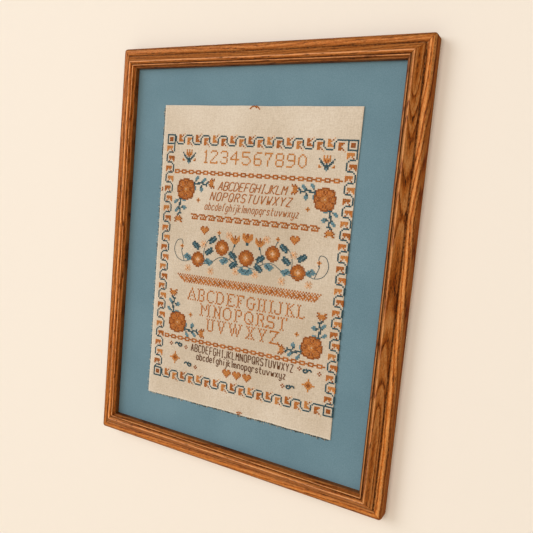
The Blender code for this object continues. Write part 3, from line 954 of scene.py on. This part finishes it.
sloping = []
for letters, first, last, row in (("ABCDEFGHIJKLM", 45, 96, 36.5), ("NOPQRSTUVWXYZ", 39, 100, 43.8)):
    sloping += written(letters, first, last, row, 0.76, 0.94, 0.30)
back_stitched("sloping_letters", "m", sloping, 0.62)
back_stitched("sloping_small_letters", "m",
              written("abcdefghijklmnopqrstuvwxyz", 35, 106, 50.6, 0.56, 0.86, 0.24), 0.46)
small = written("ABCDEFGHIJKLMNOPQRSTUVWXYZ", 32, 112, 151.2, 0.50, 0.86)
small += written("abcdefghijklmnopqrstuvwxyz", 37, 107, 156.8, 0.56, 0.80)
back_stitched("small_letters", "n", small, 0.56)


# The garland's vine, its tendrils curled at the ends, and four small scrolls by the rings.
VINES = (
    ((71, 86), (64, 87), (58, 83), (51, 82), (44, 86), (38, 88), (33, 88)),
    ((27, 86), (21, 88), (15, 86), (12, 80), (14, 74), (18, 73), (19, 76)),
    ((38, 88), (37, 80), (39, 73), (43, 70)),
    ((58, 83), (60, 77), (61, 73)),
    ((50, 71), (49, 68)),
    ((21, 88), (19, 83), (18, 80)),
)
SCROLL = ((0, 1.5), (1.0, 0.2), (2.3, 0.6), (3.2, 2.0), (4.6, 2.6), (5.8, 1.6), (5.2, 0.5), (4.3, 1.0))
vines = [rounded(line) for line in VINES]
vines += [rounded([(CHART_COLUMNS - column, row) for column, row in line]) for line in VINES]
back_stitched("garland_vine", "t", vines, 0.42)
scrolls = []
for column, row, way in ((18, 147, 1), (125, 147, -1), (27, 160, 1), (114, 160, -1)):
    scrolls.append(rounded([(column + way * across, row + down) for across, down in SCROLL], 3))
    scrolls.append([(column + way * 2.8, row + 1.4), (column + way * 3.8, row - 0.2)])
back_stitched("scrolls", "t", scrolls, 0.95)


# The raw edges at the left and below: short ends of the weave stand out, and loose threads of it
# lie along the edge on the board; the dark ones are partly painted shadow under the raw edge. Three
# ends of rust thread are caught near the edges.
def beside(edge, shares, out):
    """Chart points along an edge of the cloth, moved outward from it in metres."""
    places = edge_line(edge, shares)
    places[:, 0 if edge == "left" else 1] -= out
    return chart_place(*places.T)


FRINGE_GAP, FRINGE_REACH = 0.0009, 0.0021
fringe = []
for edge, length in (("left", CLOTH_FLAT[1]), ("bottom", CLOTH_FLAT[0])):
    shares = np.arange(0.006, 0.994, FRINGE_GAP / length)
    shares += hand.normal(0, 0.0004, len(shares))
    slant = hand.normal(0, 0.0016, len(shares))
    inner = beside(edge, shares, -0.0004)
    outer = beside(edge, shares + slant, FRINGE_REACH * (0.2 + 1.5 * hand.random(len(shares)) ** 3))
    fringe += [list(pair) for pair in zip(inner, outer)]
pale = hand.random(len(fringe)) < 0.62
for name, thread, chosen in (("fringe_pale", "l", pale), ("fringe_shaded", "g", ~pale)):
    back_stitched(name, thread, [line for line, take in zip(fringe, chosen) if take], 0.22, (0.05, 0.55))
# edge, where along it the loose thread starts and ends, and how far out it lies
LOOSE_THREADS = (
    ("left", 0.06, 0.30, 0.0003), ("left", 0.40, 0.68, 0.0002), ("left", 0.80, 0.99, 0.0008),
    ("bottom", 0.02, 0.20, 0.0001), ("bottom", 0.27, 0.60, 0.0006), ("bottom", 0.58, 0.99, 0.0008),
)
loose = []
for edge, start, end, out in LOOSE_THREADS:
    shares = np.linspace(start, end, int(90 * (end - start)) + 3)
    wander = 0.0006 * np.sin(shares * 97 + out * 9000) + hand.normal(0, 0.00025, len(shares))
    loose.append(list(beside(edge, shares, out + wander)))
# The dark loose threads are partly painted shadow along the raw edges.
back_stitched("loose_threads_and_shadow", "g", loose, 0.5, (0.55, 0.55))
# where each caught end lies from the opening's middle, and its lines around there
THREAD_ENDS = (
    (0.0007, 0.1761, (((-2.4, 0.6), (-1.2, -0.5), (0.2, -0.7), (1.2, 0.1)),
                      ((0.9, -0.9), (2.0, -0.2), (2.9, 0.8)))),
    (0.0152, -0.1757, (((-1.7, 0.3), (-0.3, -0.4), (1.3, 0.0)), ((-1.2, 0.9), (0.4, 0.4)))),
    (-0.1212, 0.0776, (((0.0, -0.9), (0.3, 0.0), (-0.2, 1.1)),)),
)
ends = []
for x, z, lines in THREAD_ENDS:
    middle = chart_place(np.array([x]), np.array([z]))[0]
    ends += [rounded([middle + 1.4 * np.array(point) for point in line], 3) for line in lines]
back_stitched("thread_ends", "m", ends, 0.75)


# Pale studio: a wall behind the frame and a floor far below it. The wall is seen from its
# front only and throws no light, so that the back of the frame can be looked at.
def pale_plane(name, size, place, turn, colour, one_sided):
    """A matt plane of the stage."""
    bpy.ops.object.select_all(action="DESELECT")
    bpy.ops.mesh.primitive_plane_add(size=size, location=place, rotation=turn)
    plane = bpy.context.object
    plane.name = name
    bpy.ops.object.transform_apply(location=True, rotation=True, scale=True)
    material, tree, shader = new_material(name)
    shader.inputs["Base Color"].default_value = colour
    shader.inputs["Roughness"].default_value = 1.0
    shader.inputs["Specular IOR Level"].default_value = 0.0
    if one_sided:
        back = put(tree, "NewGeometry").outputs["Backfacing"]
        seen = put(tree, "LightPath").outputs["Is Camera Ray"]
        shown = maths(tree, "MULTIPLY", maths(tree, "SUBTRACT", 1.0, back), seen)
        clear = put(tree, "BsdfTransparent")
        mixed = put(tree, "MixShader", {0: shown, 1: clear.outputs[0], 2: shader.outputs[0]})
        tree.links.new(mixed.outputs[0], tree.nodes["Material Output"].inputs["Surface"])
    plane.data.materials.append(material)


pale_plane("wall", 5.0, (0, 0.0004, 0.9), (math.pi / 2, 0, 0), linear(246, 231, 213), True)
pale_plane("floor", 8.0, (0, 0, -1.6), (0, 0, 0), linear(244, 234, 218), False)


# Soft daylight: a large window high on the left, a weaker light from the front, and one behind
# the wall for the frame's back.
def soft_light(name, place, aim, size, power, colour):
    """A round area light turned towards a point."""
    lamp = bpy.data.lights.new(name, "AREA")
    lamp.shape = "DISK"
    lamp.size = size
    lamp.energy = power
    lamp.color = colour
    holder = bpy.data.objects.new(name, lamp)
    holder.location = place
    holder.rotation_euler = (Vector(aim) - Vector(place)).to_track_quat("-Z", "Y").to_euler()
    bpy.context.scene.collection.objects.link(holder)


soft_light("window_light", (-7.6, -6.9, 3.3), (0, 0, -0.24), 7.4, 596.0, (0.885, 0.98, 1.11))
soft_light("front_light", (-0.1, -3.3, 0.45), (0, 0, -0.24), 1.5, 40.0, (0.99, 0.97, 0.935))
soft_light("back_light", (-0.9, 1.6, 0.5), (0, 0, -0.24), 1.2, 26.0, (1.0, 1.0, 1.0))
world = bpy.data.worlds.new("studio")
bpy.context.scene.world = world
world.use_nodes = True
world.node_tree.nodes["Background"].inputs["Color"].default_value = (0.99, 0.97, 0.935, 1.0)
world.node_tree.nodes["Background"].inputs["Strength"].default_value = 0.322
